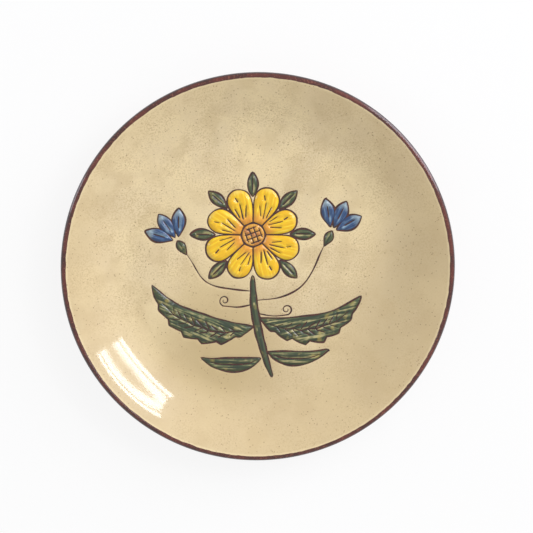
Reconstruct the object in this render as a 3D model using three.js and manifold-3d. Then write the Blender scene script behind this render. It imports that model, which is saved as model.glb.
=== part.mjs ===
// Hand-painted earthenware plate: a shallow dish without a flange, 25 cm across.
// A red clay body stands on a foot ring that is pierced for hanging. Cream slip coats the
// front, an iron-brown band runs over the lip, and a flower spray in brushed colours lies
// on the flat well. Units are millimetres, +Z is up, and the origin is the centre of the
// plane that the foot ring stands on.

import * as THREE from 'three';
import { mergeVertices } from 'three/addons/utils/BufferGeometryUtils.js';
import Module from 'manifold-3d';

// Driving dimensions of the thrown form
const plateDiameter = 250;
const plateHeight = 30.5;
const wellDiameter = 154;
const baseDiameter = 168;
const baseThickness = 5.6;
const lipThickness = 4;
const lipSlope = 24;
const wellSweep = 16;
const lipSweep = 16;
const baseSweep = 24;
const shoulderSweep = 10;

// Coats laid on the clay
const coatThickness = 0.4;
const colourThickness = 0.3;
const bandStartAngle = 104.5;
const bandSkirt = 3;
const incisedLine = 1;

// Foot ring and its two holes for a hanging wire
const footDiameter = 150;
const footHeight = 6;
const footFaceWidth = 5.5;
const footFlare = 1.3;
const footEdgeRound = 1;
const wireHoleDiameter = 2.6;
const wireHoleSpacing = 26;
const wireHoleHeight = 3;

// The painted spray is laid out on a circle and drawn to fit the flat of the well
const layoutRadius = 75;
const sprayMargin = 2;

// Painted flower
const flowerX = -3;
const flowerY = 20;
const hubRadius = 7.5;
const petalCount = 8;
const petalReach = 31;
const petalVariation = 0.9;
const petalShoulder = 3.2;
const petalTip = 0.6;
const bractStart = 24;
const bractReach = 40;
const bractWidth = 7;

// Stem and leaves, with the two leaves of a pair drawn a little unlike
const stemFootX = 9;
const stemFootY = -73;
const stemWidth = 4.6;
const stemTuck = 4;
const leafWidth = 19;
const leafSag = 15;
const leafTeeth = 7;
const leafToothDepth = 0.3;
const leftLeafTip = { x: -68, y: -12 };
const rightLeafTip = { x: 67, y: -20 };
const leafletWidth = 9.5;
const leafletSag = 5;
const leftLeafletTip = { x: -37, y: -60 };
const rightLeafletTip = { x: 46, y: -55 };

// Blue bellflowers, placed by the throat where their petals meet the calyx
const leftBell = { x: -51, y: 15, lean: 34 };
const rightBell = { x: 47, y: 21, lean: -26 };
const bellSpread = 36;
const bellLength = 19;
const bellWidth = 9;
const calyxLength = 10;
const calyxWidth = 6;

// Smoothness of the turned and painted outlines
const turnSegments = 72;
const wallSteps = 8;
const lipSteps = 7;
const discSteps = 28;
const petalSteps = 9;
const bladeSteps = 12;
const toothSteps = 4;

const plate = new THREE.Group();

const clay = { color: 0x8a4630, roughness: 0.75 };
const footClay = { color: 0xa4583b, roughness: 0.9 };
const creamSlip = { color: 0xe4cda3, roughness: 0.18 };
const ironBrown = { color: 0x6b2e22, roughness: 0.2 };
const yellow = { color: 0xf6c80c, roughness: 0.2 };
const amber = { color: 0xe59a35, roughness: 0.2 };
const leafGreen = { color: 0x4f5a34, roughness: 0.2 };
const blue = { color: 0x3c649b, roughness: 0.2 };

function addPart(name, geometry, look) {
  const material = new THREE.MeshStandardMaterial({ ...look, metalness: 0 });
  const mesh = new THREE.Mesh(geometry, material);
  mesh.name = name;
  plate.add(mesh);
  return mesh;
}

// Turned forms are drawn as a section in the r-z plane and revolved about the plate's axis.
function turned(section) {
  const geometry = new THREE.LatheGeometry(section, turnSegments);
  geometry.rotateX(Math.PI / 2);
  return geometry;
}

// The clay's outline, walked from the centre of the well over the lip to the base.
// Each station keeps its point and its outward normal, so that a coat can follow it.
const wellRadius = wellDiameter / 2;
const wellFloor = footHeight + baseThickness;
const lipRadius = lipThickness / 2;
const lipCentre = new THREE.Vector2(
  plateDiameter / 2 - coatThickness - lipRadius,
  plateHeight - coatThickness - lipRadius,
);
const slope = THREE.MathUtils.degToRad(lipSlope);
const wallDirection = new THREE.Vector2(Math.cos(slope), Math.sin(slope));

function lipPoint(angle) {
  return new THREE.Vector2(Math.cos(angle), Math.sin(angle)).multiplyScalar(lipRadius).add(lipCentre);
}

function stationsAlong(curve, steps) {
  const stations = [];
  for (let i = 0; i <= steps; i += 1) {
    const t = i / steps;
    const tangent = curve.getTangent(t);
    stations.push({ point: curve.getPoint(t), normal: new THREE.Vector2(-tangent.y, tangent.x) });
  }
  return stations;
}

function lipStations(fromAngle, toAngle, steps) {
  const stations = [];
  for (let i = 0; i <= steps; i += 1) {
    const angle = THREE.MathUtils.lerp(fromAngle, toAngle, i / steps);
    const normal = new THREE.Vector2(Math.cos(angle), Math.sin(angle));
    stations.push({ point: lipPoint(angle), normal });
  }
  return stations;
}

const lipInnerAngle = Math.PI / 2 + slope;
const lipOuterAngle = slope - Math.PI / 2;
const bandAngle = THREE.MathUtils.degToRad(bandStartAngle);
const wellEdge = new THREE.Vector2(wellRadius, wellFloor);
const innerLip = lipPoint(lipInnerAngle);
const outerLip = lipPoint(lipOuterAngle);
const skirtEnd = outerLip.clone().addScaledVector(wallDirection, -bandSkirt);
const baseEdge = new THREE.Vector2(baseDiameter / 2, footHeight);

const innerWall = new THREE.CubicBezierCurve(
  wellEdge,
  new THREE.Vector2(wellRadius + wellSweep, wellFloor),
  innerLip.clone().addScaledVector(wallDirection, -lipSweep),
  innerLip,
);
const outerWall = new THREE.CubicBezierCurve(
  skirtEnd,
  skirtEnd.clone().addScaledVector(wallDirection, -shoulderSweep),
  new THREE.Vector2(baseEdge.x + baseSweep, footHeight),
  baseEdge,
);

const wellCentre = { point: new THREE.Vector2(0, wellFloor), normal: new THREE.Vector2(0, 1) };
const frontStations = [
  wellCentre,
  ...stationsAlong(innerWall, wallSteps),
  ...lipStations(lipInnerAngle, bandAngle, 1).slice(1),
];
const bandStations = [
  ...lipStations(bandAngle, lipOuterAngle, lipSteps),
  { point: skirtEnd, normal: new THREE.Vector2(wallDirection.y, -wallDirection.x) },
];
const backStations = stationsAlong(outerWall, wallSteps).slice(1);

function makeClayBody() {
  const stations = [...frontStations, ...bandStations.slice(1), ...backStations];
  const section = stations.map((station) => station.point);
  section.push(new THREE.Vector2(0, footHeight));
  addPart('clay_body', turned(section.reverse()), clay);
}

// A coat is the strip between the clay's outline and the same outline moved out.
function coatSection(stations) {
  const outside = stations.map((s) => s.point.clone().addScaledVector(s.normal, coatThickness));
  const inside = stations.map((s) => s.point.clone());
  return [...inside, ...outside.reverse()];
}

function makeCoats() {
  const slipSection = coatSection(frontStations);
  addPart('slip_coat', turned(slipSection), creamSlip);
  const bandSection = coatSection(bandStations);
  bandSection.push(bandSection[0].clone());
  addPart('rim_band', turned(bandSection), ironBrown);
}

// The foot ring is a tapered ring luted to the flat base, pierced by two wire holes.
const wasm = await Module();
wasm.setup();

function toSolid(geometry) {
  const bare = geometry.clone();
  bare.deleteAttribute('normal');
  bare.deleteAttribute('uv');
  const merged = mergeVertices(bare, 1e-4);
  return new wasm.Manifold(new wasm.Mesh({
    numProp: 3,
    vertProperties: new Float32Array(merged.attributes.position.array),
    triVerts: new Uint32Array(merged.index.array),
  }));
}

function toGeometry(solid) {
  const mesh = solid.getMesh();
  const geometry = new THREE.BufferGeometry();
  geometry.setAttribute('position', new THREE.BufferAttribute(new Float32Array(mesh.vertProperties), 3));
  geometry.setIndex(new THREE.BufferAttribute(new Uint32Array(mesh.triVerts), 1));
  geometry.computeVertexNormals();
  return geometry;
}

function makeFootRing() {
  const middle = footDiameter / 2;
  const halfFace = footFaceWidth / 2;
  const halfTop = halfFace + footFlare;
  const section = [
    new THREE.Vector2(middle - halfTop, footHeight),
    new THREE.Vector2(middle - halfFace - footEdgeRound * 0.3, footEdgeRound),
    new THREE.Vector2(middle - halfFace + footEdgeRound, 0),
    new THREE.Vector2(middle + halfFace - footEdgeRound, 0),
    new THREE.Vector2(middle + halfFace + footEdgeRound * 0.3, footEdgeRound),
    new THREE.Vector2(middle + halfTop, footHeight),
  ];
  section.push(section[0].clone());
  let ring = toSolid(turned(section));
  const drillLength = 4 * halfTop + wireHoleSpacing / 2;
  for (const side of [-1, 1]) {
    const drill = new THREE.CylinderGeometry(wireHoleDiameter / 2, wireHoleDiameter / 2, drillLength, 12);
    drill.translate(side * wireHoleSpacing / 2, middle, wireHoleHeight);
    ring = ring.subtract(toSolid(drill));
  }
  addPart('foot_ring', toGeometry(ring), footClay);
}

// Every painted field is a thin coat of colour that lies on the flat of the slipped well.
const paintFloor = wellFloor + coatThickness;
const sprayFit = (wellRadius - sprayMargin) / layoutRadius;
const lineHalf = incisedLine / 2;

function addField(name, outline, look) {
  const shape = new THREE.Shape(outline.map((point) => point.clone().multiplyScalar(sprayFit)));
  const geometry = new THREE.ExtrudeGeometry(shape, { depth: colourThickness, bevelEnabled: false });
  const field = addPart(name, geometry, look);
  field.position.z = paintFloor;
}

function polar(centre, radius, angle) {
  return new THREE.Vector2(centre.x + radius * Math.cos(angle), centre.y + radius * Math.sin(angle));
}

// A leaf-shaped field: half widths set off on both sides of a curved spine, from where
// the drawn outline is as wide as the incised line to where it narrows to it again.
// Teeth that point to the tip notch one side, -1 for the right and 1 for the left.
function bladeOutline(spine, width, { fullest = 0.45, bluntness = 0.85, teeth = 0, toothSide = -1 } = {}) {
  const skew = Math.log(0.5) / Math.log(fullest);
  const halfAt = (t) => (width / 2) * Math.max(0, Math.sin(Math.PI * t ** skew)) ** bluntness - lineHalf;
  const start = crossing(halfAt, 0, fullest);
  const end = crossing(halfAt, 1, fullest);
  const steps = teeth > 0 ? teeth * toothSteps : bladeSteps;
  const left = [];
  const right = [spine.getPoint(start)];
  for (let i = 1; i < steps; i += 1) {
    const progress = teeth > 0 ? i / steps : (1 - Math.cos(Math.PI * i / steps)) / 2;
    const t = THREE.MathUtils.lerp(start, end, progress);
    const point = spine.getPoint(t);
    const tangent = spine.getTangent(t);
    const across = new THREE.Vector2(-tangent.y, tangent.x);
    const notch = teeth > 0 ? 1 - leafToothDepth * (1 - (i % toothSteps) / (toothSteps - 1)) : 1;
    const leftHalf = halfAt(t) * (toothSide > 0 ? notch : 1);
    const rightHalf = halfAt(t) * (toothSide < 0 ? notch : 1);
    left.push(point.clone().addScaledVector(across, leftHalf));
    right.push(point.clone().addScaledVector(across, -rightHalf));
  }
  return [...right, spine.getPoint(end), ...left.reverse()];
}

// Where a width that is nothing at one end of the spine first reaches zero net of the line.
function crossing(halfAt, empty, full) {
  let outside = empty;
  let inside = full;
  for (let i = 0; i < 40; i += 1) {
    const middle = (outside + inside) / 2;
    if (halfAt(middle) > 0) {
      inside = middle;
    } else {
      outside = middle;
    }
  }
  return inside;
}

function straightSpine(from, to) {
  return new THREE.QuadraticBezierCurve(from, from.clone().lerp(to, 0.5), to);
}

// A spine that hangs below its chord by the sag at mid length.
function saggingSpine(from, to, sag) {
  const chord = to.clone().sub(from);
  const down = new THREE.Vector2(chord.y, -chord.x).normalize();
  if (down.y > 0) {
    down.negate();
  }
  return new THREE.QuadraticBezierCurve(from, from.clone().lerp(to, 0.5).addScaledVector(down, 2 * sag), to);
}

// A petal fills its sector between two incised lines and rounds off towards its tip.
function petalOutline(centre, angle, pitch, reach) {
  const start = hubRadius + lineHalf;
  const end = reach - lineHalf;
  const along = new THREE.Vector2(Math.cos(angle), Math.sin(angle));
  const across = new THREE.Vector2(-along.y, along.x);
  const left = [];
  const right = [];
  for (let i = 0; i < petalSteps; i += 1) {
    const t = Math.sin((i / petalSteps) * Math.PI / 2);
    const radius = THREE.MathUtils.lerp(start, end, t);
    const sectorHalf = radius * Math.tan(pitch / 2) - lineHalf / Math.cos(pitch / 2);
    const half = sectorHalf * (1 - t ** petalShoulder) ** petalTip;
    const middle = centre.clone().addScaledVector(along, radius);
    right.push(middle.clone().addScaledVector(across, -half));
    left.push(middle.clone().addScaledVector(across, half));
  }
  return [...right, centre.clone().addScaledVector(along, end), ...left.reverse()];
}

// The flower is turned so that the stem comes up between two petals. The other gaps
// between petals each show a small bract.
const flowerCentre = new THREE.Vector2(flowerX, flowerY);
const stemAngle = -Math.PI / 2;

function makeFlower() {
  const hub = new THREE.Path().absarc(flowerX, flowerY, hubRadius - lineHalf, 0, Math.PI * 2);
  addField('flower_hub', hub.getPoints(discSteps).slice(0, -1), amber);
  const pitch = Math.PI * 2 / petalCount;
  for (let i = 0; i < petalCount; i += 1) {
    const reach = petalReach + petalVariation * Math.sin(2.4 * i);
    const outline = petalOutline(flowerCentre, stemAngle + pitch * (i + 0.5), pitch, reach);
    addField(`petal_${i + 1}`, outline, yellow);
  }
  for (let i = 1; i < petalCount; i += 1) {
    const angle = stemAngle + pitch * i;
    const spine = straightSpine(polar(flowerCentre, bractStart, angle), polar(flowerCentre, bractReach, angle));
    addField(`bract_${i}`, bladeOutline(spine, bractWidth, { fullest: 0.52 }), amber);
  }
}

const stemTop = new THREE.Vector2(flowerX, flowerY - petalReach + stemTuck);
const stemFoot = new THREE.Vector2(stemFootX, stemFootY);
const stemSpine = new THREE.QuadraticBezierCurve(
  stemTop,
  new THREE.Vector2(flowerX, (stemTop.y + stemFoot.y) / 2),
  stemFoot,
);

// A leaf springs from the stem's outline, part of the way down from the flower.
function addLeaf(name, side, down, tip, width, sag, options) {
  const root = stemSpine.getPoint(down).add(new THREE.Vector2(side * (stemWidth / 2 + lineHalf), 0));
  const spine = saggingSpine(root, new THREE.Vector2(tip.x, tip.y), sag);
  addField(name, bladeOutline(spine, width, options), leafGreen);
}

function makeStemAndLeaves() {
  addField('stem', bladeOutline(stemSpine, stemWidth, { fullest: 0.5, bluntness: 0.3 }), leafGreen);
  addLeaf('leaf_left', -1, 0.5, leftLeafTip, leafWidth, leafSag, { teeth: leafTeeth, toothSide: 1 });
  addLeaf('leaf_right', 1, 0.42, rightLeafTip, leafWidth, leafSag, { teeth: leafTeeth, toothSide: -1 });
  addLeaf('leaflet_left', -1, 0.82, leftLeafletTip, leafletWidth, leafletSag, {});
  addLeaf('leaflet_right', 1, 0.76, rightLeafletTip, leafletWidth, leafletSag, {});
}

// Each bellflower has three blue petals that fan out of a green calyx.
function addBell(word, bell) {
  const throat = new THREE.Vector2(bell.x, bell.y);
  const lean = Math.PI / 2 + THREE.MathUtils.degToRad(bell.lean);
  const spread = THREE.MathUtils.degToRad(bellSpread);
  const fanStart = incisedLine / Math.sin(spread / 2);
  for (let i = 0; i < 3; i += 1) {
    const angle = lean + (i - 1) * spread;
    const spine = straightSpine(polar(throat, fanStart, angle), polar(throat, fanStart + bellLength, angle));
    addField(`bell_${word}_${i + 1}`, bladeOutline(spine, bellWidth, { fullest: 0.56 }), blue);
  }
  const calyxSpine = straightSpine(polar(throat, -calyxLength, lean), polar(throat, incisedLine, lean));
  addField(`calyx_${word}`, bladeOutline(calyxSpine, calyxWidth, { fullest: 0.6 }), leafGreen);
}

function makeBellflowers() {
  addBell('left', leftBell);
  addBell('right', rightBell);
}

makeClayBody();
makeCoats();
makeFootRing();
makeFlower();
makeStemAndLeaves();
makeBellflowers();

export default plate;
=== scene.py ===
import math

import bmesh
import bpy
from mathutils import Matrix, Vector
from mathutils.geometry import delaunay_2d_cdt
from mathutils.kdtree import KDTree


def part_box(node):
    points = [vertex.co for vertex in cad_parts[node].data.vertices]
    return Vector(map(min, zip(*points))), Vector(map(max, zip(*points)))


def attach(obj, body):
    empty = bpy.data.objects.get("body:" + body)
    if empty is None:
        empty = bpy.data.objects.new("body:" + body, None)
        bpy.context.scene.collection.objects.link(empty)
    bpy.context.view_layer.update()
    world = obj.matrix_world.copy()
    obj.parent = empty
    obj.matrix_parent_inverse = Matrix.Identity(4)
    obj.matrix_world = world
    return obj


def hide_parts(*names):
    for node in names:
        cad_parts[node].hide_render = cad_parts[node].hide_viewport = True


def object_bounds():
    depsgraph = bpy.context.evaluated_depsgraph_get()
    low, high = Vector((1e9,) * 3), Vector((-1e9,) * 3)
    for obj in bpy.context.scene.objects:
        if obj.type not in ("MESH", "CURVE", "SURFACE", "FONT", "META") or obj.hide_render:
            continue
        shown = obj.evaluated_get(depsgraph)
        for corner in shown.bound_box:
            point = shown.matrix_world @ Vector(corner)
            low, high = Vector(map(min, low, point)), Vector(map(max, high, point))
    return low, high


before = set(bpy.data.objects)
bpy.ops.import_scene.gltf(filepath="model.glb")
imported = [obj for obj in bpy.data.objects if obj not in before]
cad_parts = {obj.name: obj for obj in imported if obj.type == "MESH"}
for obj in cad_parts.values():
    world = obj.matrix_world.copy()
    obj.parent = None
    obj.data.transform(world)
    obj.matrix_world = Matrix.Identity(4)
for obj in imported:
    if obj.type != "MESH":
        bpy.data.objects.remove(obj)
cad_low, cad_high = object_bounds()

# The painted fields of the flower spray, as the painter leaves them: each is one colour brushed
# inside an incised line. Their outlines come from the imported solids, rounded off between corners
# and moved by the small unsteadiness of a hand.
MM = 0.001
DIGITS = 7
NEARLY = 0.01 * MM
BOTH_SIDES = {"left": -1, "right": 1}
FIELDS = {
    "flower_hub": "amber",
    "stem": "leaf_green",
    "leaf_left": "leaf_green",
    "leaf_right": "leaf_green",
    "leaflet_left": "leaf_green",
    "leaflet_right": "leaf_green",
    "calyx_left": "leaf_green",
    "calyx_right": "leaf_green",
}
FIELDS.update({f"petal_{n}": "yellow" for n in range(1, 9)})
FIELDS.update({f"bract_{n}": "leaf_green" for n in range(1, 8)})
FIELDS.update({f"bell_{side}_{n}": "blue" for side in BOTH_SIDES for n in range(1, 4)})
CORNER_COSINE = math.cos(math.radians(38))
OUTLINE_STEP = 0.6 * MM
HAND_SWAY = 0.22 * MM
HAND_TREMBLE = 0.4


def wave(point, length_x, length_y, phase):
    """A wave over the plate, from -1 to 1, with its length along each axis in millimetres a
    radian."""
    return math.sin(point[0] / MM / length_x + point[1] / MM / length_y + phase)


def hand(point):
    """The same unsteadiness for all that lies near: a slow sway and a faster tremble."""
    sway_x = wave(point, 9.1, 13.7, 0.4) + HAND_TREMBLE * wave(point, math.inf, 2.9, 1.3)
    sway_y = wave(point, -12.1, 8.3, 2.1) + HAND_TREMBLE * wave(point, 3.3, math.inf, 0.7)
    return Vector((point[0] + HAND_SWAY * sway_x, point[1] + HAND_SWAY * sway_y))


def top_outline(name):
    """The outline of a field's upper face, in order."""
    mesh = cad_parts[name].data
    top = max(v.co.z for v in mesh.vertices) - NEARLY
    uses = {}
    for face in mesh.polygons:
        if all(mesh.vertices[v].co.z > top for v in face.vertices):
            for edge in face.edge_keys:
                a, b = (tuple(round(c, DIGITS) for c in mesh.vertices[v].co[:2]) for v in edge)
                key = (min(a, b), max(a, b))
                uses[key] = uses.get(key, 0) + 1
    ways = {}
    for (a, b), times in uses.items():
        if times == 1:
            ways.setdefault(a, []).append(b)
            ways.setdefault(b, []).append(a)
    start = min(ways)
    loop, last = [start], None
    while True:
        here = loop[-1]
        onward = [p for p in ways[here] if p != last]
        if not onward or (onward[0] == start and len(loop) > 2):
            break
        last = here
        loop.append(onward[0])
    points = [Vector(p) for p in loop]
    area = sum(a.cross(b) for a, b in zip(points, points[1:] + points[:1]))
    return points if area > 0 else points[::-1]


def straightness(a, b, c):
    """The cosine of the turn that a line takes at b."""
    return (b - a).normalized().dot((c - b).normalized())


def curve_point(p0, p1, p2, p3, t):
    """A point of the smooth curve from p1 to p2 whose neighbours are p0 and p3."""
    return 0.5 * (2 * p1 + (p2 - p0) * t + (2 * p0 - 5 * p1 + 4 * p2 - p3) * t * t
                  + (3 * p1 - p0 - 3 * p2 + p3) * t ** 3)


def rounded(points, closed=True, step=OUTLINE_STEP, keep_corners=True):
    """A smooth line through the points, which keeps its sharp corners where it is asked to."""
    count = len(points)

    def at(i):
        return points[i % count] if closed else points[max(0, min(count - 1, i))]

    def sharp(i):
        if not closed and i in (0, count - 1):
            return True
        return keep_corners and straightness(at(i - 1), at(i), at(i + 1)) < CORNER_COSINE

    line = []
    for i in range(count if closed else count - 1):
        p1, p2 = at(i), at(i + 1)
        p0 = p1 + (p1 - p2) * 0.5 if sharp(i) else at(i - 1)
        p3 = p2 + (p2 - p1) * 0.5 if sharp(i + 1) else at(i + 2)
        pieces = max(1, round((p2 - p1).length / step))
        line += [curve_point(p0, p1, p2, p3, k / pieces) for k in range(pieces)]
    if not closed:
        line.append(points[-1])
    return [hand(p) for p in line]


outlines = {name: rounded(top_outline(name)) for name in FIELDS}

# The lines that the potter cuts through the slip with a loop tool before painting: round every
# field, along the veins and across the flower's hub. They show the dark clay wash under the slip.
LINE_WIDTH = 1.0 * MM
VEIN_WIDTH = 0.85 * MM
PETAL_VEIN_WIDTH = VEIN_WIDTH * 0.85
FINE_VEIN_WIDTH = VEIN_WIDTH * 0.8
STROKE_STEP = 0.5 * MM
STEM_MIDDLE = Vector((0, -45 * MM))
FAR_ABOVE = 1.0
strokes = []


def centre_of(points):
    return sum(points, Vector((0, 0))) / len(points)


def add_stroke(points, width=VEIN_WIDTH):
    """A cut line through a few points, with its full width."""
    strokes.append((rounded(points, closed=False, step=STROKE_STEP, keep_corners=False), width))


flower_centre = centre_of(outlines["flower_hub"])
calyx_centres = {side: centre_of(outlines[f"calyx_{side}"]) for side in BOTH_SIDES}


def origin_of(name, end):
    """The point that a field grows out from. A calyx hangs, so its own is straight above it."""
    if name.startswith(("petal", "bract")):
        return flower_centre
    if name.startswith("bell"):
        return calyx_centres[name.split("_")[1]]
    if name.startswith("calyx"):
        return Vector((end.x, FAR_ABOVE))
    return STEM_MIDDLE


def axis_of(name):
    """The foot and the tip of a field: its two ends, the foot being nearer to its origin."""
    points = outlines[name]
    centre = centre_of(points)
    a = max(points, key=lambda p: (p - centre).length)
    b = max(points, key=lambda p: (p - a).length)
    origin = origin_of(name, a)
    return (a, b) if (a - origin).length < (b - origin).length else (b, a)


# Each vein of a petal: how far it lies from the middle in millimetres, and the shares of the
# petal's length where it starts and ends. The veins spread from the foot to the tip.
PETAL_VEINS = ((0, 0.16, 0.62), (2.6, 0.22, 0.5), (-2.6, 0.2, 0.54), (1.2, 0.66, 0.8))
SPREAD_AT_FOOT = 0.7
SPREAD_GAINED = 0.8
for n in range(1, 9):
    foot, tip = axis_of(f"petal_{n}")
    along = tip - foot
    across = Vector((-along.y, along.x)).normalized()
    for aside, start, end in PETAL_VEINS:
        vein = []
        for t in (0, 0.5, 1):
            spread = SPREAD_AT_FOOT + SPREAD_GAINED * t
            vein.append(foot + along * (start + (end - start) * t) + across * (aside * MM) * spread)
        add_stroke(vein, PETAL_VEIN_WIDTH)

HATCH_PITCH = 3.1 * MM
HATCH_LEAN = 0.35
HATCH_MARGIN = 1.2 * MM
hub_radius = min((p - flower_centre).length for p in outlines["flower_hub"]) - HATCH_MARGIN
for direction in (Vector((1, HATCH_LEAN)).normalized(), Vector((-HATCH_LEAN, 1)).normalized()):
    across = Vector((-direction.y, direction.x))
    for k in (-1.5, -0.5, 0.5, 1.5):
        reach = math.sqrt(max(0, hub_radius ** 2 - (k * HATCH_PITCH) ** 2))
        middle = flower_centre + across * k * HATCH_PITCH
        add_stroke([middle - direction * reach, middle, middle + direction * reach],
                   FINE_VEIN_WIDTH)


def inside(point, polygon):
    """Whether a point lies in a polygon, by the crossings of a level ray."""
    hits, (x, y) = False, point[:2]
    ax, ay = polygon[-1]
    for bx, by in polygon:
        if (ay > y) != (by > y) and x < (bx - ax) * (y - ay) / (by - ay) + ax:
            hits = not hits
        ax, ay = bx, by
    return hits


RIB_PARTS = 14
PROBE_STEP = 0.25 * MM
PROBES = 120


def middle_line(name):
    """The points halfway between a leaf's two edges from foot to tip, each with the leaf's
    breadth there."""
    points = outlines[name]
    foot, tip = axis_of(name)
    along = (tip - foot).normalized()
    across = Vector((-along.y, along.x))
    length = (tip - foot).length
    offsets = [s * PROBE_STEP for s in range(-PROBES, PROBES + 1)]
    line = []
    for k in range(1, RIB_PARTS):
        level = foot + along * length * k / RIB_PARTS
        hits = [s for s in offsets if inside(level + across * s, points)]
        if hits:
            line.append((level + across * (min(hits) + max(hits)) / 2, max(hits) - min(hits)))
    return line


# A leaf's side veins leave its rib in pairs and bend towards the tip. Their reach is a share of
# the leaf's breadth, and their lean a share of their reach.
VEIN_START = 0.6 * MM
VEIN_REACH = 0.26
LEAN_MIDWAY = 0.45
LEAN_AT_END = 1.125
BARE_TIP = 3
for name in ("leaf_left", "leaf_right", "leaflet_left", "leaflet_right"):
    rib = middle_line(name)
    add_stroke([p for p, _ in rib[:-1]])
    if name.startswith("leaflet"):
        continue
    for k in range(1, len(rib) - BARE_TIP):
        here, breadth = rib[k]
        along = (rib[k + 1][0] - here).normalized()
        reach = breadth * VEIN_REACH
        for direction in BOTH_SIDES.values():
            across = Vector((-along.y, along.x)) * direction
            add_stroke([here + across * VEIN_START,
                        here + across * reach * 0.5 + along * reach * LEAN_MIDWAY,
                        here + across * reach + along * reach * LEAN_AT_END], FINE_VEIN_WIDTH)

BRACT_VEIN = (0.2, 0.5, 0.78)
BELL_VEIN = (0.3, 0.55, 0.75)


def add_middle_vein(name, shares):
    """A straight vein through points at shares of a field's length."""
    foot, tip = axis_of(name)
    add_stroke([foot + (tip - foot) * t for t in shares], FINE_VEIN_WIDTH)


for n in range(1, 8):
    add_middle_vein(f"bract_{n}", BRACT_VEIN)
for side in BOTH_SIDES:
    for n in range(1, 4):
        add_middle_vein(f"bell_{side}_{n}", BELL_VEIN)

# The tendrils: cut lines with no colour in them. A long one on each side leaves the stem, arches
# over and holds the bellflower, and below it a short one ends free in a curl.
TENDRIL_HEIGHTS = {"left": -18 * MM, "right": -22 * MM}
TENDRIL_HANDLE = Vector((34 * MM, 2 * MM))
TENDRIL_PULL = 20 * MM
TENDRIL_GAP = 1 * MM
TENDRIL_PARTS = 8
STEM_GAP = 0.4 * MM
STEM_BAND = 1.5 * MM


def stem_side(height, direction):
    """A point just outside the stem's left (-1) or right (1) edge at a height."""
    level = [p for p in outlines["stem"] if abs(p.y - height) < STEM_BAND]
    return max(level, key=lambda p: p.x * direction) + Vector((direction * STEM_GAP, 0))


def bell_top(side):
    """The end of a calyx that the tendril holds, and the way out of the bell there."""
    bell = centre_of([centre_of(outlines[f"bell_{side}_{n}"]) for n in range(1, 4)])
    top = max(outlines[f"calyx_{side}"], key=lambda p: (p - bell).length)
    return top, (top - bell).normalized()


for side, direction in BOTH_SIDES.items():
    start = stem_side(TENDRIL_HEIGHTS[side], direction)
    top, away = bell_top(side)
    handle = start + Vector((direction * TENDRIL_HANDLE.x, TENDRIL_HANDLE.y))
    pull = top + away * TENDRIL_PULL
    end = top + away * TENDRIL_GAP
    bend = []
    for k in range(TENDRIL_PARTS + 1):
        t = k / TENDRIL_PARTS
        bend.append(start * (1 - t) ** 3 + handle * 3 * t * (1 - t) ** 2
                    + pull * 3 * t * t * (1 - t) + end * t ** 3)
    add_stroke(bend, LINE_WIDTH)

# Each curl's height on the stem, and how far out its eye lies.
CURLS = {"left": (-27 * MM, 17 * MM), "right": (-30 * MM, 18 * MM)}
CURL_WIDTH = VEIN_WIDTH * 1.1
CURL_RISE = 2.5 * MM
CURL_SAG = -1.6 * MM
CURL_RADIUS = 3.6 * MM
CURL_SHRINK = 0.78
CURL_TURNS = 1.35
CURL_PARTS = 16
for side, direction in BOTH_SIDES.items():
    height, reach = CURLS[side]
    start = stem_side(height, direction)
    eye = start + Vector((direction * reach, CURL_RISE))
    curl = [start, start + Vector((direction * reach * 0.5, CURL_SAG))]
    for k in range(CURL_PARTS + 1):
        turn = k / CURL_PARTS
        radius = CURL_RADIUS * (1 - CURL_SHRINK * turn)
        angle = -math.pi / 2 + CURL_TURNS * 2 * math.pi * turn
        curl.append(eye + Vector((direction * radius * math.cos(angle), radius * math.sin(angle))))
    add_stroke(curl, CURL_WIDTH)

# The cream slip: red clay's white coat, poured over the front and wiped back at the lip. The
# incised lines are real grooves in it. The floor is one triangulated sheet that follows every
# line, and the wall above it is turned.
ROUND = 288
GROOVE_DEPTH = 0.26 * MM
TOUCHING = 0.001 * MM
WELL_SPAN = 40 * MM


def section_of(name):
    """The outline of a turned node's section: radius and height of the vertices on one of its
    meridians, in order round the section."""
    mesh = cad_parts[name].data
    here = {}
    for v in mesh.vertices:
        if abs(v.co.y) < TOUCHING and v.co.x > -TOUCHING:
            here[v.index] = (round(v.co.x, DIGITS), round(v.co.z, DIGITS))
    ways = {}
    for edge in mesh.edges:
        a, b = edge.vertices
        if a in here and b in here and here[a] != here[b]:
            ways.setdefault(here[a], set()).add(here[b])
            ways.setdefault(here[b], set()).add(here[a])
    start = min(ways)
    loop, last = [start], None
    while True:
        onward = sorted(p for p in ways[loop[-1]] if p != last and p not in loop[1:])
        onward = [p for p in onward if p != start or len(loop) > 2]
        if not onward or onward[0] == start:
            break
        last = loop[-1]
        loop.append(onward[0])
    return [Vector(p) for p in loop]


slip_section = section_of("slip_coat")
slip_floor = max(p.y for p in slip_section if p.x < WELL_SPAN)
slip_under = min(p.y for p in slip_section if p.x < WELL_SPAN)
on_floor = [i for i, p in enumerate(slip_section) if abs(p.y - slip_floor) < TOUCHING]
wall_start = max(on_floor, key=lambda i: slip_section[i].x)
well_edge = slip_section[wall_start].x


def cut_share(point):
    """A cut is wider where the tool was pressed harder. This is its share of the usual width."""
    return 1 + 0.24 * wave(point, 5.3, 7.9, 0) + 0.12 * wave(point, -2.7, 1.9, 0)


def taper(place):
    """The share of its full width that a stroke has at a place on it from 0 to 1: it starts at
    six tenths and thins out to four."""
    return min(1, 0.6 + 3 * place, 0.4 + 4 * (1 - place))


def tree_of(points):
    tree = KDTree(len(points))
    for i, p in enumerate(points):
        tree.insert((p.x, p.y, 0), i)
    tree.balance()
    return tree


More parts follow.
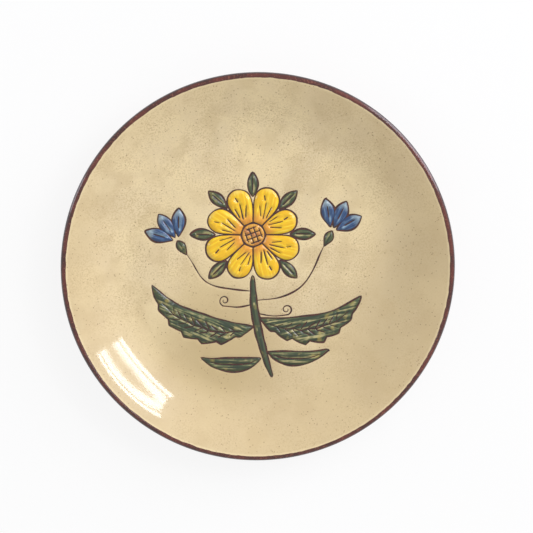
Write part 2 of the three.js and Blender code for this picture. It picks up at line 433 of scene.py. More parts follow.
TREE_PARTS = 4
edge_points, stroke_points, stroke_widths = [], [], []
for points in outlines.values():
    for a, b in zip(points, points[1:] + points[:1]):
        edge_points += [a.lerp(b, k / TREE_PARTS) for k in range(TREE_PARTS)]
for points, width in strokes:
    count = len(points) - 1
    for i in range(count):
        for k in range(TREE_PARTS):
            stroke_points.append(points[i].lerp(points[i + 1], k / TREE_PARTS))
            stroke_widths.append(width * taper((i + k / TREE_PARTS) / count))
edge_tree = tree_of(edge_points)
stroke_tree = tree_of(stroke_points)
boxes = {
    name: (min(p.x for p in o), max(p.x for p in o), min(p.y for p in o), max(p.y for p in o))
    for name, o in outlines.items()
}


def field_at(point):
    """The name of the field that a point lies in."""
    for name, (x0, x1, y0, y1) in boxes.items():
        if x0 <= point[0] <= x1 and y0 <= point[1] <= y1 and inside(point, outlines[name]):
            return name
    return None


def edge_distance(point):
    return edge_tree.find((point[0], point[1], 0))[2]


def stroke_distance(point):
    """The distance to the nearest open stroke, and that stroke's half width there."""
    _, i, distance = stroke_tree.find((point[0], point[1], 0))
    return distance, stroke_widths[i] * cut_share(point) / 2


def cut_width(point):
    """The width of the cut that runs outside a field's edge."""
    return LINE_WIDTH * cut_share(point)


def on_circle(radius, k, parts):
    """The k-th of so many points on a circle round the plate's axis."""
    angle = 2 * math.pi * k / parts
    return radius * math.cos(angle), radius * math.sin(angle)


def offset_row(points, distances, closed):
    """A row of points beside a line, each at its own distance to the line's right."""
    row, count = [], len(points)
    for i, (p, distance) in enumerate(zip(points, distances)):
        a = points[i - 1] if closed or i else p
        b = points[(i + 1) % count] if closed or i < count - 1 else p
        way = (b - a).normalized()
        row.append(p + Vector((way.y, -way.x)) * distance)
    return row


WELL_MARGIN = 0.5 * MM
EDGE_MARGIN = 0.35 * MM
ROW_MARGIN = 0.82
sheet_points = [Vector(on_circle(well_edge, k, ROUND)) for k in range(ROUND)]
sheet_edges = [(k, (k + 1) % ROUND) for k in range(ROUND)]


def add_row(points, keep, closed=False):
    """Adds a row of points to the sheet, with edges between neighbours that were both kept."""
    previous, first = None, None
    for p in points:
        if p.length < well_edge - WELL_MARGIN and keep(p):
            sheet_points.append(p)
            index = len(sheet_points) - 1
            if previous is not None:
                sheet_edges.append((previous, index))
            previous = index
            first = index if first is None else first
        else:
            previous = None
    if closed and previous is not None and previous != first:
        sheet_edges.append((previous, first))


def off_the_edges(point):
    return edge_distance(point) > EDGE_MARGIN


for points in outlines.values():
    add_row(points, lambda p: True, closed=True)
    for share in (0.5, 1.0):
        def off_the_cut(p, share=share):
            return edge_distance(p) > cut_width(p) * share * ROW_MARGIN and field_at(p) is None

        distances = [cut_width(p) * share for p in points]
        add_row(offset_row(points, distances, closed=True), off_the_cut, closed=share == 1.0)
for points, width in strokes:
    count = len(points) - 1
    halves = [width * taper(i / count) / 2 * cut_share(p) for i, p in enumerate(points)]
    add_row(points, off_the_edges)
    for direction in BOTH_SIDES.values():
        distances = [direction * half for half in halves]
        add_row(offset_row(points, distances, closed=False), off_the_edges)

GRID = 2.4 * MM
GRID_ROWS = 36
ROW_PITCH = 0.87
GRID_MARGIN = 1.5 * MM
STROKE_MARGIN = 1.1 * MM
for row in range(-GRID_ROWS, GRID_ROWS + 1):
    for column in range(-GRID_ROWS, GRID_ROWS + 1):
        p = Vector(((column + 0.5 * (row % 2)) * GRID, row * GRID * ROW_PITCH))
        if p.length < well_edge - GRID_MARGIN and edge_distance(p) > GRID_MARGIN:
            if stroke_distance(p)[0] > STROKE_MARGIN:
                sheet_points.append(p)

flat_points, _, flat_faces, _, _, _ = delaunay_2d_cdt(sheet_points, sheet_edges, [], 0, TOUCHING)


def depth_at(point):
    """How deep the cut is below the slip: a rounded groove beside a field's edge or under a
    stroke."""
    depth = 0.0
    distance, width = edge_distance(point), cut_width(point)
    if distance < width and field_at(point) is None:
        depth = math.sin(math.pi * distance / width)
    away, half = stroke_distance(point)
    if away < half:
        depth = max(depth, 1 - (away / half) ** 2)
    return GROOVE_DEPTH * depth


def kind_at(point):
    """What the floor shows at a point: a cut line, the field of a name, or bare slip."""
    away, half = stroke_distance(point)
    if away < half:
        return "line"
    beside = edge_distance(point) < cut_width(point)
    return field_at(point) or ("line" if beside else "slip")


def border_of(faces):
    """The edges on the border of a patch of faces, each in its face's direction."""
    edges = {(a, b) for face in faces for a, b in zip(face, face[1:] + face[:1])}
    return [(a, b) for a, b in edges if (b, a) not in edges]


# Where two parts of a field meet in a single point, the cut runs through between them. A pass
# can leave a new such point, so there are a few of them.
PASSES = 8
face_kinds = [kind_at(centre_of([flat_points[v] for v in face])) for face in flat_faces]
for _ in range(PASSES):
    pinched = set()
    for name in FIELDS:
        patch = [face for face, kind in zip(flat_faces, face_kinds) if kind == name]
        starts = [a for a, _ in border_of(patch)]
        pinched |= {(name, v) for v in starts if starts.count(v) > 1}
    if not pinched:
        break
    face_kinds = [
        "line" if any((kind, v) in pinched for v in face) else kind
        for face, kind in zip(flat_faces, face_kinds)
    ]

scene = bpy.context.scene


def new_piece(name, vertices, faces, materials, indices=None, smooth=True):
    """A mesh object with its materials and the material of each face."""
    mesh = bpy.data.meshes.new(name)
    mesh.from_pydata([tuple(v) for v in vertices], [], [tuple(f) for f in faces])
    for material in materials:
        mesh.materials.append(material)
    if indices:
        mesh.polygons.foreach_set("material_index", indices)
    mesh.polygons.foreach_set("use_smooth", [smooth] * len(mesh.polygons))
    mesh.validate()
    mesh.update()
    piece = bpy.data.objects.new(name, mesh)
    scene.collection.objects.link(piece)
    return piece


class Value:
    """A node's output that takes part in sums: an expression on values adds its Math nodes."""

    def __init__(self, tree, socket):
        self.tree, self.socket = tree, socket

    def worked(self, operation, *inputs):
        return self.tree.add("ShaderNodeMath", {"operation": operation}, inputs)

    def __add__(self, other):
        return self.worked("ADD", self, other)

    def __sub__(self, other):
        return self.worked("SUBTRACT", self, other)

    def __rsub__(self, other):
        return self.worked("SUBTRACT", other, self)

    def __mul__(self, other):
        return self.worked("MULTIPLY", self, other)

    def __pow__(self, other):
        return self.worked("POWER", self, other)

    __radd__, __rmul__ = __add__, __mul__


class Finish:
    """One material's node tree, with a method for any node."""

    def __init__(self, name):
        self.material = bpy.data.materials.new(name)
        self.material.use_nodes = True
        self.nodes = self.material.node_tree.nodes
        self.links = self.material.node_tree.links
        self.shader = self.nodes["Principled BSDF"]
        self.place = self.add("ShaderNodeTexCoord", output="Object")

    def plug(self, socket, value):
        if isinstance(value, Value):
            self.links.new(value.socket, socket)
        else:
            socket.default_value = value

    def add(self, kind, settings=None, sockets=None, output=0):
        node = self.nodes.new(kind)
        for key, value in (settings or {}).items():
            setattr(node, key, value)
        pairs = sockets.items() if isinstance(sockets, dict) else enumerate(sockets or [])
        for key, value in pairs:
            self.plug(node.inputs[key], value)
        return Value(self, node.outputs[output])

    def noise(self, scale, detail, where=None):
        """Noise of so many features a metre, from 0 to 1."""
        return self.add("ShaderNodeTexNoise", {},
                        {"Vector": where or self.place, "Scale": scale, "Detail": detail})

    def part(self, vector, number):
        """One of a vector's three numbers."""
        return self.add("ShaderNodeSeparateXYZ", {}, [vector], number)

    def distance_to(self, point):
        return self.add("ShaderNodeVectorMath", {"operation": "DISTANCE"}, [self.place, point], 1)

    def radius(self):
        """The distance from the plate's axis."""
        x, y = self.part(self.place, 0), self.part(self.place, 1)
        return (x * x + y * y) ** 0.5

    def ramp(self, value, low, high, at_low=0.0, at_high=1.0):
        """A smooth step from one number to another as a value goes from low to high."""
        return self.add("ShaderNodeMapRange", {"interpolation_type": "SMOOTHSTEP"},
                        [value, low, high, at_low, at_high])

    def mix(self, factor, a, b):
        return self.add("ShaderNodeMix", {"data_type": "RGBA"}, {0: factor, 6: a, 7: b}, 2)

    def blots(self, tone, over, scale, detail, low, high, most=1.0):
        """A colour with blots of another over it, which come in as noise goes from low to high."""
        return self.mix(self.ramp(self.noise(scale, detail), low, high, at_high=most), tone, over)

    def set(self, **sockets):
        for key, value in sockets.items():
            self.plug(self.shader.inputs[key.replace("_", " ")], value)

    def bump(self, height, distance):
        self.set(Normal=self.add("ShaderNodeBump", {}, {"Height": height, "Distance": distance}))


def colour(red, green, blue):
    """A colour as it is read off a screen, for a shader's socket."""
    def linear(c):
        c /= 255
        return c / 12.92 if c <= 0.04045 else ((c + 0.055) / 1.055) ** 2.4
    return (linear(red), linear(green), linear(blue), 1.0)


GLAZE_ROUGHNESS = 0.06
ORANGE_PEEL = 0.05 * MM


def glaze(finish, waviness=ORANGE_PEEL):
    """The clear glaze on top: glossy, with a faint orange peel."""
    finish.set(Coat_Weight=1.0, Coat_Roughness=GLAZE_ROUGHNESS, Coat_IOR=1.5)
    finish.bump(finish.noise(140, 2) + finish.noise(700, 2) * 0.25, waviness)


# Painted shade: away from a point at the upper left the slip is darkened, standing in for the
# shade that falls on the wall. A patch at the lower left is olive and darker. These are the
# middles of both.
SHADE_FREE_POINT = (-12 * MM, 24 * MM, 12 * MM)
OLIVE_PATCH_MIDDLE = (-22 * MM, -50 * MM, 12 * MM)
CREAM = colour(232, 211, 168)
CREAM_WARM = colour(238, 217, 170)
CREAM_GREY = colour(206, 188, 150)
# Thin slip, and also the colour of the painted shade on the wall.
CREAM_THIN_AND_SHADE = colour(204, 180, 134)
CREAM_OLIVE = colour(192, 168, 118)
SPECK = colour(140, 104, 70)
MAROON = colour(84, 32, 24)
band_edge = max(p.x for p in slip_section)


def slip_finish():
    f = Finish("cream_slip")
    radius = f.radius()
    tone = f.blots(CREAM_WARM, CREAM, scale=38, detail=4, low=0.38, high=0.66)
    tone = f.blots(tone, CREAM_GREY, scale=17, detail=3, low=0.52, high=0.75, most=0.55)
    # Painted shade: darker the farther from the point at the upper left.
    shade_distance = f.distance_to(SHADE_FREE_POINT) + f.noise(22, 3) * (50 * MM)
    tone = f.mix(f.ramp(shade_distance, 90 * MM, 150 * MM, at_high=0.6), tone, CREAM_THIN_AND_SHADE)
    tone = f.blots(tone, CREAM_THIN_AND_SHADE, scale=60, detail=5, low=0.46, high=0.68, most=0.45)
    # An olive, darker patch towards the lower left.
    patch_distance = f.distance_to(OLIVE_PATCH_MIDDLE) + f.noise(30, 4) * (50 * MM)
    patch_share = 1 - f.ramp(patch_distance, 35 * MM, 85 * MM)
    tone = f.mix(patch_share * 0.75, tone, CREAM_OLIVE)
    grain = f.ramp(f.noise(1000, 3), 0.44, 0.64, at_high=0.75)
    cover = f.ramp(f.noise(48, 3), 0.35, 0.65, at_low=0.25)
    tone = f.mix(grain * cover, tone, CREAM_THIN_AND_SHADE)
    # Painted highlight: the cream is lighter on the lip's rounding next to the band.
    roll = f.ramp(radius, band_edge - 2.2 * MM, band_edge - 0.6 * MM, at_high=0.7)
    tone = f.mix(roll, tone, CREAM_WARM)
    cell = f.add("ShaderNodeTexVoronoi", {}, {"Vector": f.place, "Scale": 520.0}, "Distance")
    chance = f.ramp(f.noise(300, 1), 0.46, 0.62)
    speck = (1 - f.ramp(cell, 0.10, 0.26)) * chance * 0.75
    tone = f.mix(speck, tone, SPECK)
    edge = radius + f.noise(180, 2) * (1.1 * MM)
    band = f.ramp(edge, band_edge - 0.2 * MM, band_edge + 0.15 * MM)
    f.set(Base_Color=f.mix(band, tone, MAROON), Roughness=0.36)
    glaze(f)
    return f.material


def line_finish():
    f = Finish("incised_line")
    tone = f.blots(colour(50, 22, 18), colour(88, 40, 26), scale=420, detail=2, low=0.35, high=0.7)
    f.set(Base_Color=tone, Roughness=0.45)
    glaze(f, 0.8 * ORANGE_PEEL)
    return f.material


WOBBLE = 0.108 * MM
WOBBLE_START = 12 * MM


def thrown(radius, height, angle):
    """A point of the turned wall. A hand-thrown rim isn't quite level or round."""
    lift = max(0.0, (height - WOBBLE_START) / (cad_high.z - WOBBLE_START))
    sway = math.sin(2 * angle + 0.6) + 0.5 * math.sin(3 * angle + 2.2) - 1.5
    reach = radius + WOBBLE * lift * lift * sway
    return reach * math.cos(angle), reach * math.sin(angle), height + WOBBLE * lift * sway


SECTION_COSINE = 0.82


def finer(points, step):
    """A section with more points, smooth between its corners."""
    last, line = len(points) - 1, []
    for i in range(last):
        p1, p2 = points[i], points[i + 1]
        p0, p3 = p1 - (p2 - p1), p2 + (p2 - p1)
        if i > 0 and straightness(points[i - 1], p1, p2) >= SECTION_COSINE:
            p0 = points[i - 1]
        if i < last - 1 and straightness(p1, p2, points[i + 2]) >= SECTION_COSINE:
            p3 = points[i + 2]
        pieces = max(1, math.ceil((p2 - p1).length / step))
        line += [curve_point(p0, p1, p2, p3, k / pieces) for k in range(pieces)]
    return line + points[-1:]


# The wall goes from the well's edge up to the lip, and back down along the clay.
WALL_STEP = 1.6 * MM
walk = slip_section[wall_start:] + slip_section[:wall_start]
if walk[1].x < walk[0].x:
    walk = walk[:1] + walk[:0:-1]
off_axis = [p for p in walk if p.x > TOUCHING]
end = next(i for i, p in enumerate(off_axis) if i > 2 and abs(p.y - slip_under) < TOUCHING)
wall = finer(off_axis[:end + 1], WALL_STEP)

slip_vertices = [(p.x, p.y, slip_floor - depth_at(p)) for p in flat_points]
slip_faces = list(flat_faces)
slip_indices = [1 if kind == "line" else 0 for kind in face_kinds]
well_ring = {}
for index, p in enumerate(flat_points):
    if abs(p.length - well_edge) < NEARLY:
        well_ring[round(math.atan2(p.y, p.x) / (2 * math.pi) * ROUND) % ROUND] = index
previous_ring = [well_ring[k] for k in range(ROUND)]
for station in wall[1:]:
    ring = list(range(len(slip_vertices), len(slip_vertices) + ROUND))
    for k in range(ROUND):
        following = (k + 1) % ROUND
        slip_vertices.append(thrown(station.x, station.y, 2 * math.pi * k / ROUND))
        slip_faces.append((previous_ring[k], ring[k], ring[following], previous_ring[following]))
        slip_indices.append(0)
    previous_ring = ring
centre = len(slip_vertices)
slip_vertices.append((0, 0, slip_under))
for k in range(ROUND):
    slip_faces.append((previous_ring[k], centre, previous_ring[(k + 1) % ROUND]))
    slip_indices.append(0)
slip = new_piece("poured_slip", slip_vertices, slip_faces, [slip_finish(), line_finish()],
                 slip_indices)
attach(slip, "root")
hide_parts("slip_coat")

# The colours: oxides in a little slip, laid on with a full brush inside the lines, so each field
# stands a hair proud of the cream, is streaked along the stroke, and pools darker at its edge.
FIELD_RISE = 0.2 * MM
EDGE_RISE = 0.3
EDGE_ROLL = 1.4 * MM
POOL_REACH = 3 * MM
STREAK_ALONG = 45
STREAK_ACROSS = 620
# Each paint's body, its deep and its thin colour, and how far the thin one spreads.
PAINTS = {
    "yellow": (colour(255, 214, 4), colour(246, 190, 4), colour(255, 226, 90), 0.3),
    "amber": (colour(214, 150, 58), colour(236, 170, 60), colour(240, 205, 140), 0.4),
    "leaf_green": (colour(84, 98, 58), colour(44, 58, 38), colour(196, 184, 128), 0.62),
    "blue": (colour(52, 92, 138), colour(34, 62, 106), colour(150, 180, 196), 0.5),
}
PETAL_FOOT = colour(232, 150, 52)
PETAL_TIP = colour(250, 226, 140)
BURNT_AMBER = colour(176, 96, 40)
LEAF_OCHRE = colour(168, 150, 70)
BELL_TIP = colour(176, 196, 200)


def paint_finish(name):
    body, deep, thin, spread = PAINTS[name]
    f = Finish(f"{name}_paint")
    brush = f.add("ShaderNodeUVMap", {"uv_map": "brush"})
    span = f.add("ShaderNodeUVMap", {"uv_map": "span"})
    reach, edge = f.part(span, 0), f.part(span, 1)
    streak = f.noise(1.0, 4, brush)
    pool = f.noise(160, 3)
    tone = f.mix(f.ramp(streak, 0.4, 0.62), deep, body)
    patch_share = f.ramp(streak * 0.75 + pool * 0.35, 0.54, 0.68, at_high=0.95) * f.ramp(edge, 0.05, 0.5)
    tone = f.mix(patch_share * spread * 1.6, tone, thin)
    if name == "yellow":
        foot = 1 - f.ramp(reach + pool * 0.25, 0.2, 0.55)
        tone = f.mix(foot * 0.85, tone, PETAL_FOOT)
        tone = f.mix(f.ramp(reach + pool * 0.2, 0.95, 1.15, at_high=0.5), tone, PETAL_TIP)
    if name == "amber":
        tone = f.mix(f.ramp(pool, 0.5, 0.62, at_high=0.7), tone, BURNT_AMBER)
    if name == "leaf_green":
        tone = f.mix(f.ramp(pool + reach * 0.15, 0.62, 0.78, at_high=0.6), tone, LEAF_OCHRE)
    if name == "blue":
        tone = f.mix(f.ramp(reach + pool * 0.3, 0.75, 1.1, at_high=0.8), tone, BELL_TIP)
    tone = f.mix(f.ramp(edge, 0.0, 0.16, at_low=0.35, at_high=0.0), tone, deep)
    f.set(Base_Color=tone, Roughness=0.4)
    glaze(f)
    return f.material


paints = {name: paint_finish(name) for name in PAINTS}
patches = {name: [] for name in FIELDS}
for face, kind in zip(flat_faces, face_kinds):
    if kind in patches:
        patches[kind].append(face)


def paint_field(name):
    """A closed thin layer on the field's part of the floor, with its brush direction as UVs."""
    used = sorted({v for face in patches[name] for v in face})
    number = {v: i for i, v in enumerate(used)}
    foot, tip = axis_of(name)
    length = (tip - foot).length
    along = (tip - foot).normalized()
    across = Vector((-along.y, along.x))
    upper, lower, pools = [], [], []
    for v in used:
        p = flat_points[v]
        share = min(1.0, edge_distance(p) / EDGE_ROLL)
        share = share * share * (3 - 2 * share)
        rise = FIELD_RISE * (EDGE_RISE + (1 - EDGE_RISE) * share)
        upper.append((p.x, p.y, slip_floor + rise))
        lower.append((p.x, p.y, slip_floor))
        pools.append(min(1.0, edge_distance(p) / POOL_REACH))
    count = len(used)
    solid = [tuple(number[v] for v in face) for face in patches[name]]
    border = border_of(solid)
    solid += [tuple(count + v for v in face[::-1]) for face in solid]
    solid += [(b, a, count + a, count + b) for a, b in border]
    piece = new_piece(f"painted_{name}", upper + lower, solid, [paints[FIELDS[name]]])
    brush = piece.data.uv_layers.new(name="brush")
    span = piece.data.uv_layers.new(name="span")
    for loop in piece.data.loops:
        i = loop.vertex_index % count
        arm = flat_points[used[i]] - foot
        u, w = arm.dot(along), arm.dot(across)
        brush.data[loop.index].uv = (u * STREAK_ALONG, w * STREAK_ACROSS)
        span.data[loop.index].uv = (u / length, pools[i])
    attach(piece, "root")
    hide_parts(name)


for name in FIELDS:
    paint_field(name)

# The iron-brown band: brushed over the lip while the plate turns on the wheel. It is thick on the
# crest, where flecks of lighter brown show. Painted shade makes it nearly black at its outer edge
# and darker low on the outside, where it faces away from the light.
BAND_STEP = 0.35 * MM
BAND_BROWN = colour(66, 25, 19)
BAND_LIGHT = colour(98, 38, 27)
BAND_FLECK = colour(168, 104, 78)
# Painted shade on the band's outside: near black at its edge, and darker lower down.
BAND_SHADED_OUTSIDE = colour(40, 18, 17)
BAND_SHADED_LOW = colour(58, 26, 22)


def turned(name, points, material, shape=thrown):
    """A closed turned piece from a closed section, or from one that starts and ends on the
    axis."""
    vertices, faces, rings = [], [], []
    for p in points:
        if p.x < TOUCHING:
            rings.append([len(vertices)] * ROUND)
            vertices.append((0, 0, p.y))
            continue
        rings.append(list(range(len(vertices), len(vertices) + ROUND)))
        vertices += [shape(p.x, p.y, 2 * math.pi * k / ROUND) for k in range(ROUND)]
    if points[0].x > TOUCHING:
        rings.append(rings[0])
    for one, two in zip(rings, rings[1:]):
        for k in range(ROUND):
            j = (k + 1) % ROUND
            face = tuple(dict.fromkeys((one[k], two[k], two[j], one[j])))
            if len(face) > 2:
                faces.append(face)
    piece = new_piece(name, vertices, faces, [material])
    shell = bmesh.new()
    shell.from_mesh(piece.data)
    bmesh.ops.recalc_face_normals(shell, faces=shell.faces)
    shell.to_mesh(piece.data)
    shell.free()
    return piece


def band_finish():
    f = Finish("iron_band")
    tone = f.blots(BAND_BROWN, BAND_LIGHT, scale=90, detail=4, low=0.35, high=0.65)
    fleck = f.ramp(f.noise(950, 2), 0.54, 0.7)
    tone = f.mix(fleck * 0.4, tone, BAND_FLECK)
    # Painted shade: nearly black towards the band's outer edge.
    outward = f.radius() + f.noise(240, 2) * (0.8 * MM)
    outer_shade = f.ramp(outward, cad_high.x - 1.1 * MM, cad_high.x + 0.1 * MM)
    tone = f.mix(outer_shade, tone, BAND_SHADED_OUTSIDE)
    # Painted shade: the band is darker low on the outside, which faces down.
    height = f.part(f.place, 2) + f.noise(120, 2) * (2 * MM)
    low = 1 - f.ramp(height, cad_high.z - 4.5 * MM, cad_high.z - 2.5 * MM)
    f.set(Base_Color=f.mix(low * 0.6, tone, BAND_SHADED_LOW), Roughness=0.3)
    glaze(f, 0.8 * ORANGE_PEEL)
    return f.material


band_section = section_of("rim_band")
band_line = finer(band_section + band_section[:1], BAND_STEP)[:-1]
rim = turned("brushed_band", band_line, band_finish())
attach(rim, "root")
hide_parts("rim_band")

# The body: red earthenware thrown on the wheel. Its back shows fine turning rings under a clear
# glaze that stops short of the foot.
BODY_STEP = 1.4 * MM
BACK_SLOPE = 0.2
RING_START = 1 * MM
RING_PITCH = 3.2 * MM
RING_DEPTH = 0.081 * MM
CLAY = colour(150, 84, 56)
CLAY_LIGHT = colour(176, 104, 70)
CLAY_DARK = colour(128, 68, 46)
CLAY_GRIT = colour(206, 168, 130)
foot_low, foot_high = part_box("foot_ring")


def body_finish():
    f = Finish("glazed_clay")
    rings = f.add("ShaderNodeTexNoise", {"noise_dimensions": "1D"},
                  {"W": f.radius(), "Scale": 900.0, "Detail": 4.0})
    tone = f.mix(f.ramp(rings, 0.35, 0.65), CLAY, CLAY_LIGHT)
    tone = f.blots(tone, CLAY_DARK, scale=45, detail=4, low=0.45, high=0.7, most=0.5)
    tone = f.blots(tone, CLAY_GRIT, scale=1300, detail=2, low=0.62, high=0.75, most=0.7)
    f.set(Base_Color=tone, Roughness=f.ramp(f.noise(60, 3), 0.3, 0.7, at_low=0.38, at_high=0.5))
    f.set(Coat_Weight=0.8, Coat_Roughness=0.12)
    f.bump(rings + f.noise(500, 2) * 0.4, 0.1 * MM)
    return f.material


body_line = []
for p in finer(section_of("clay_body"), BODY_STEP):
    behind = p.x > foot_high.x + RING_START and p.y < slip_floor + (p.x - well_edge) * BACK_SLOPE
    cut = RING_DEPTH * (0.5 - 0.5 * math.cos(2 * math.pi * p.x / RING_PITCH)) if behind else 0
    body_line.append(Vector((p.x, p.y + cut)))
clay = turned("thrown_body", body_line, body_finish())
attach(clay, "root")
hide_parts("clay_body")

# The foot ring: trimmed from the same clay, left bare so that it doesn't stick to the kiln shelf,
# and pierced side by side for a hanging wire.
FOOT_STEP = 0.8 * MM
HOLE_RADIUS = 1.3 * MM
HOLE_SPACING = 26 * MM
HOLE_HEIGHT = 3 * MM
HOLE_INSET = 3 * MM
DRILL_LENGTH = 30 * MM
DRILL_SIDES = 32
BARE_CLAY = colour(168, 100, 70)
BARE_LIGHT = colour(190, 122, 86)
BARE_GRIT = colour(214, 176, 140)
BARE_RUBBED = colour(148, 100, 78)


def foot_finish():
    f = Finish("bare_clay")
    tone = f.blots(BARE_CLAY, BARE_LIGHT, scale=120, detail=4, low=0.35, high=0.7)
    tone = f.blots(tone, BARE_GRIT, scale=1500, detail=2, low=0.58, high=0.7, most=0.6)
    rubbed = 1 - f.ramp(f.part(f.place, 2), 0.2 * MM, 0.9 * MM)
    f.set(Base_Color=f.mix(rubbed * 0.5, tone, BARE_RUBBED), Roughness=0.85)
    f.bump(f.noise(1200, 3), 0.1 * MM)
    return f.material


def plain(radius, height, angle):
    """A point of a turned piece that is quite round."""
    return radius * math.cos(angle), radius * math.sin(angle), height


foot = turned("trimmed_foot", finer(section_of("foot_ring"), FOOT_STEP), foot_finish(), plain)
for direction in BOTH_SIDES.values():
    drill_mesh = bpy.data.meshes.new("wire_drill")
    shell = bmesh.new()
    bmesh.ops.create_cone(shell, cap_ends=True, segments=DRILL_SIDES, radius1=HOLE_RADIUS,
                          radius2=HOLE_RADIUS, depth=DRILL_LENGTH)
    shell.to_mesh(drill_mesh)
    shell.free()
    drill = bpy.data.objects.new("wire_drill", drill_mesh)
    middle = (foot_high.x + foot_low.x) / 2 + direction * HOLE_SPACING / 2
    reach = math.sqrt((foot_high.x - HOLE_INSET) ** 2 - (HOLE_SPACING / 2) ** 2)
    drill.matrix_world = (Matrix.Translation((middle, reach, HOLE_HEIGHT))
                          @ Matrix.Rotation(math.pi / 2, 4, "X"))
    scene.collection.objects.link(drill)
    cut = foot.modifiers.new("wire_hole", "BOOLEAN")
    cut.object, cut.operation, cut.solver = drill, "DIFFERENCE", "EXACT"
    bpy.context.view_layer.update()
    drilled = foot.evaluated_get(bpy.context.evaluated_depsgraph_get())
    pierced = bpy.data.meshes.new_from_object(drilled)
    foot.modifiers.clear()
    foot.data = pierced
    bpy.data.objects.remove(drill)
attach(foot, "root")
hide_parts("foot_ring")

# The table: a plain white floor that takes only the plate's soft shadow. It is open under the
# foot, where the plate hides it, and shows from above only, so that the base is seen and has
# light in the views from below.
FLOOR_RADIUS = 4.5
FLOOR_DROP = -0.1 * MM
FLOOR_SIDES = 96
FLOOR_GLOW = 0.86
OPENING = foot_high.x - 0.3 * MM
floor_finish = Finish("white_floor")
diffuse = floor_finish.add("ShaderNodeBsdfDiffuse", {}, {"Color": (0.9, 0.9, 0.9, 1.0)})
glow = floor_finish.add("ShaderNodeEmission", {}, {"Color": (1.0, 1.0, 1.0, 1.0), "Strength": 1.0})
seen = floor_finish.add("ShaderNodeLightPath", output="Is Camera Ray")
mixed = floor_finish.add("ShaderNodeMixShader", {}, {0: seen * FLOOR_GLOW, 1: diffuse, 2: glow})
beneath = floor_finish.add("ShaderNodeNewGeometry", output="Backfacing")
clear = floor_finish.add("ShaderNodeBsdfTransparent")
one_sided = floor_finish.add("ShaderNodeMixShader", {}, {0: beneath, 1: mixed, 2: clear})
floor_finish.plug(floor_finish.nodes["Material Output"].inputs["Surface"], one_sided)
floor_points, floor_faces = [], []
for radius in (FLOOR_RADIUS, OPENING):
    floor_points += [(*on_circle(radius, k, FLOOR_SIDES), FLOOR_DROP) for k in range(FLOOR_SIDES)]
for k in range(FLOOR_SIDES):
    following = (k + 1) % FLOOR_SIDES
    floor_faces.append((k, following, FLOOR_SIDES + following, FLOOR_SIDES + k))
floor = new_piece("floor", floor_points, floor_faces, [floor_finish.material], smooth=False)

# The light: an even white room, one broad soft lamp at the upper right, the pair of long tubes
# whose mirror images lie in the glaze of the wall, and two cool windows that the rim mirrors.
ROOM_LIGHT = 0.56
ROOM_SEEN = 1.0
scene.view_settings.view_transform = "Standard"
world = bpy.data.worlds.new("studio")
world.use_nodes = True
scene.world = world
room = world.node_tree.nodes["Background"]
room.inputs["Color"].default_value = (1.0, 1.0, 1.0, 1.0)
light_path = world.node_tree.nodes.new("ShaderNodeLightPath")
strength = world.node_tree.nodes.new("ShaderNodeMapRange")
strength.inputs["To Min"].default_value = ROOM_LIGHT
strength.inputs["To Max"].default_value = ROOM_SEEN
world.node_tree.links.new(light_path.outputs["Is Camera Ray"], strength.inputs["Value"])
world.node_tree.links.new(strength.outputs["Result"], room.inputs["Strength"])


def placed(right, upward, back, place):
    """The matrix that turns an object's own axes to these and moves it to a place."""
    return Matrix((
        (right.x, upward.x, back.x, place.x),
        (right.y, upward.y, back.y, place.y),
        (right.z, upward.z, back.z, place.z),
        (0, 0, 0, 1),
    ))


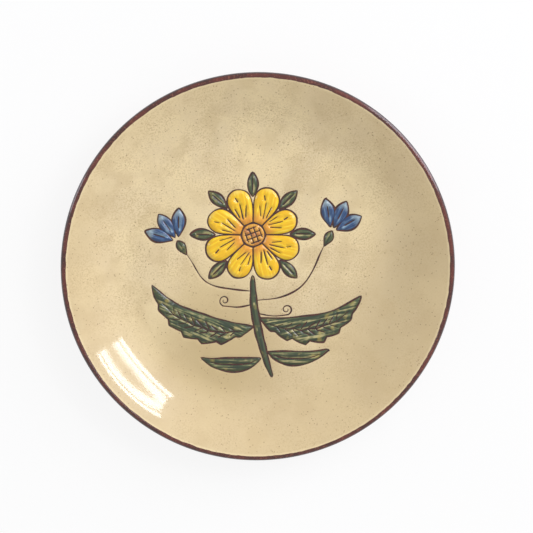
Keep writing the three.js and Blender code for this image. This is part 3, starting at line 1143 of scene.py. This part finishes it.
def add_lamp(name, azimuth, elevation, distance, width, length, radiance, tint, soft=False,
             roll=0.0):
    """A rectangle of light that faces the plate, its long side level or rolled by degrees. A
    soft one has no mirror image."""
    turn, rise, tilt = math.radians(azimuth), math.radians(elevation), math.radians(roll)
    way = Vector((math.cos(rise) * math.cos(turn), math.cos(rise) * math.sin(turn), math.sin(rise)))
    level = Vector((-math.sin(turn), math.cos(turn), 0))
    level = level * math.cos(tilt) + way.cross(level) * math.sin(tilt)
    data = bpy.data.lights.new(name, "AREA")
    data.shape = "RECTANGLE"
    data.size, data.size_y = length, width
    data.energy = radiance * math.pi * width * length
    data.color = tint
    lamp = bpy.data.objects.new(name, data)
    lamp.matrix_world = placed(level, way.cross(level), way, way * distance)
    lamp.visible_glossy = not soft
    scene.collection.objects.link(lamp)


WHITE = (1.0, 1.0, 1.0)
TUBE_WHITE = (0.93, 0.96, 1.0)
WINDOW_COOL = (0.86, 0.84, 1.0)
tube = {"azimuth": 30, "distance": 2.0, "length": 0.78, "radiance": 15}
window = {"elevation": 17, "distance": 2.0, "width": 1.1}
add_lamp("tube_lower", elevation=45.9, width=0.062, tint=TUBE_WHITE, roll=8.0, **tube)
add_lamp("tube_upper", elevation=48.7, width=0.070, tint=TUBE_WHITE, roll=8.0, **tube)
add_lamp("soft_key", azimuth=50, elevation=44, distance=2.5, width=1.6, length=1.6, radiance=2.9,
         tint=WHITE, soft=True)
add_lamp("rim_window_right", azimuth=32, length=1.2, radiance=4.5, tint=WINDOW_COOL, **window)
add_lamp("rim_window_left", azimuth=165, length=0.4, radiance=3.5, tint=WINDOW_COOL, **window)

# The camera looks down almost along the plate's axis, from slightly towards its upper edge. Its
# distance, lens and shift give the photograph's framing.
CAMERA_TILT = math.radians(9.91)
CAMERA_AZIMUTH = math.radians(97.29)
CAMERA_DISTANCE = 1.2
CAMERA_LENS = 127.9
CAMERA_SENSOR = 36
CAMERA_SHIFT = (0.0156, 0.00574)
AIM = Vector((0, 0, 27.8 * MM))
way = Vector((math.sin(CAMERA_TILT) * math.cos(CAMERA_AZIMUTH),
              math.sin(CAMERA_TILT) * math.sin(CAMERA_AZIMUTH), math.cos(CAMERA_TILT)))
right = (-way).cross(Vector((0, 1, 0))).normalized()
camera_data = bpy.data.cameras.new("camera")
camera_data.lens = CAMERA_LENS
camera_data.sensor_width = CAMERA_SENSOR
camera_data.shift_x, camera_data.shift_y = CAMERA_SHIFT
camera = bpy.data.objects.new("camera", camera_data)
camera.matrix_world = placed(right, right.cross(-way), way, AIM + way * CAMERA_DISTANCE)
scene.collection.objects.link(camera)
scene.camera = camera
